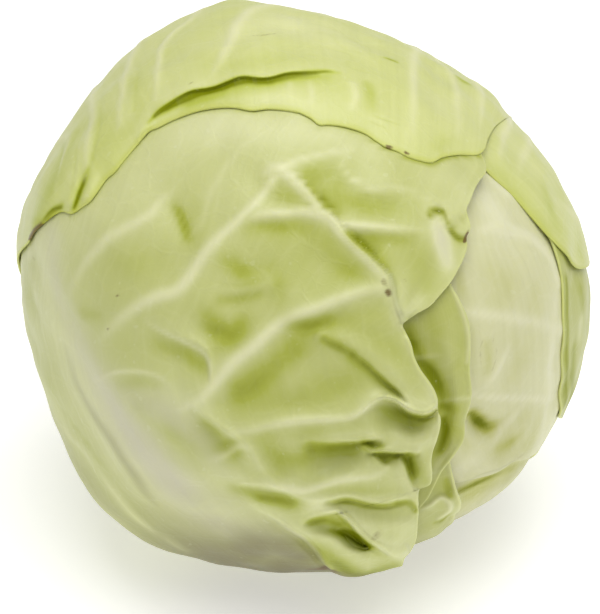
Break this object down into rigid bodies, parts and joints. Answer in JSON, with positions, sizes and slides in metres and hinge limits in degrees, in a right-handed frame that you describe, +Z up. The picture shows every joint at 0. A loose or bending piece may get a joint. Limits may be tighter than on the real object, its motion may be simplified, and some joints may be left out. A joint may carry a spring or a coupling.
{
  "type": "green cabbage",
  "caption": "Whole round green cabbage head standing on its cut stem, its outer leaves wrapped over each other with crumpled and folded margins at the front.",
  "frame": {"origin": "on the surface that the cabbage stands on, under the middle of its box", "axes": "+Z up along the stem, -Y towards the side with the crumpled front leaf, +X to the right of it"},
  "size_m": [0.1825, 0.1881, 0.1766],
  "materials": {
    "stem": "matte",
    "inner_leaf": "satin",
    "pale_leaf": "satin",
    "green_leaf": "satin",
    "front_leaf": "satin",
    "top_leaf": "satin"
  },
  "bodies": {
    "root": {"stem": "stem", "inner_head": "inner_leaf", "leaf_lower_right": "pale_leaf", "leaf_right": "pale_leaf", "leaf_lower_middle": "green_leaf", "leaf_middle": "green_leaf", "leaf_far_right_under": "green_leaf", "leaf_far_right": "pale_leaf", "leaf_front_left": "front_leaf", "leaf_top": "top_leaf"}
  },
  "joints": []
}
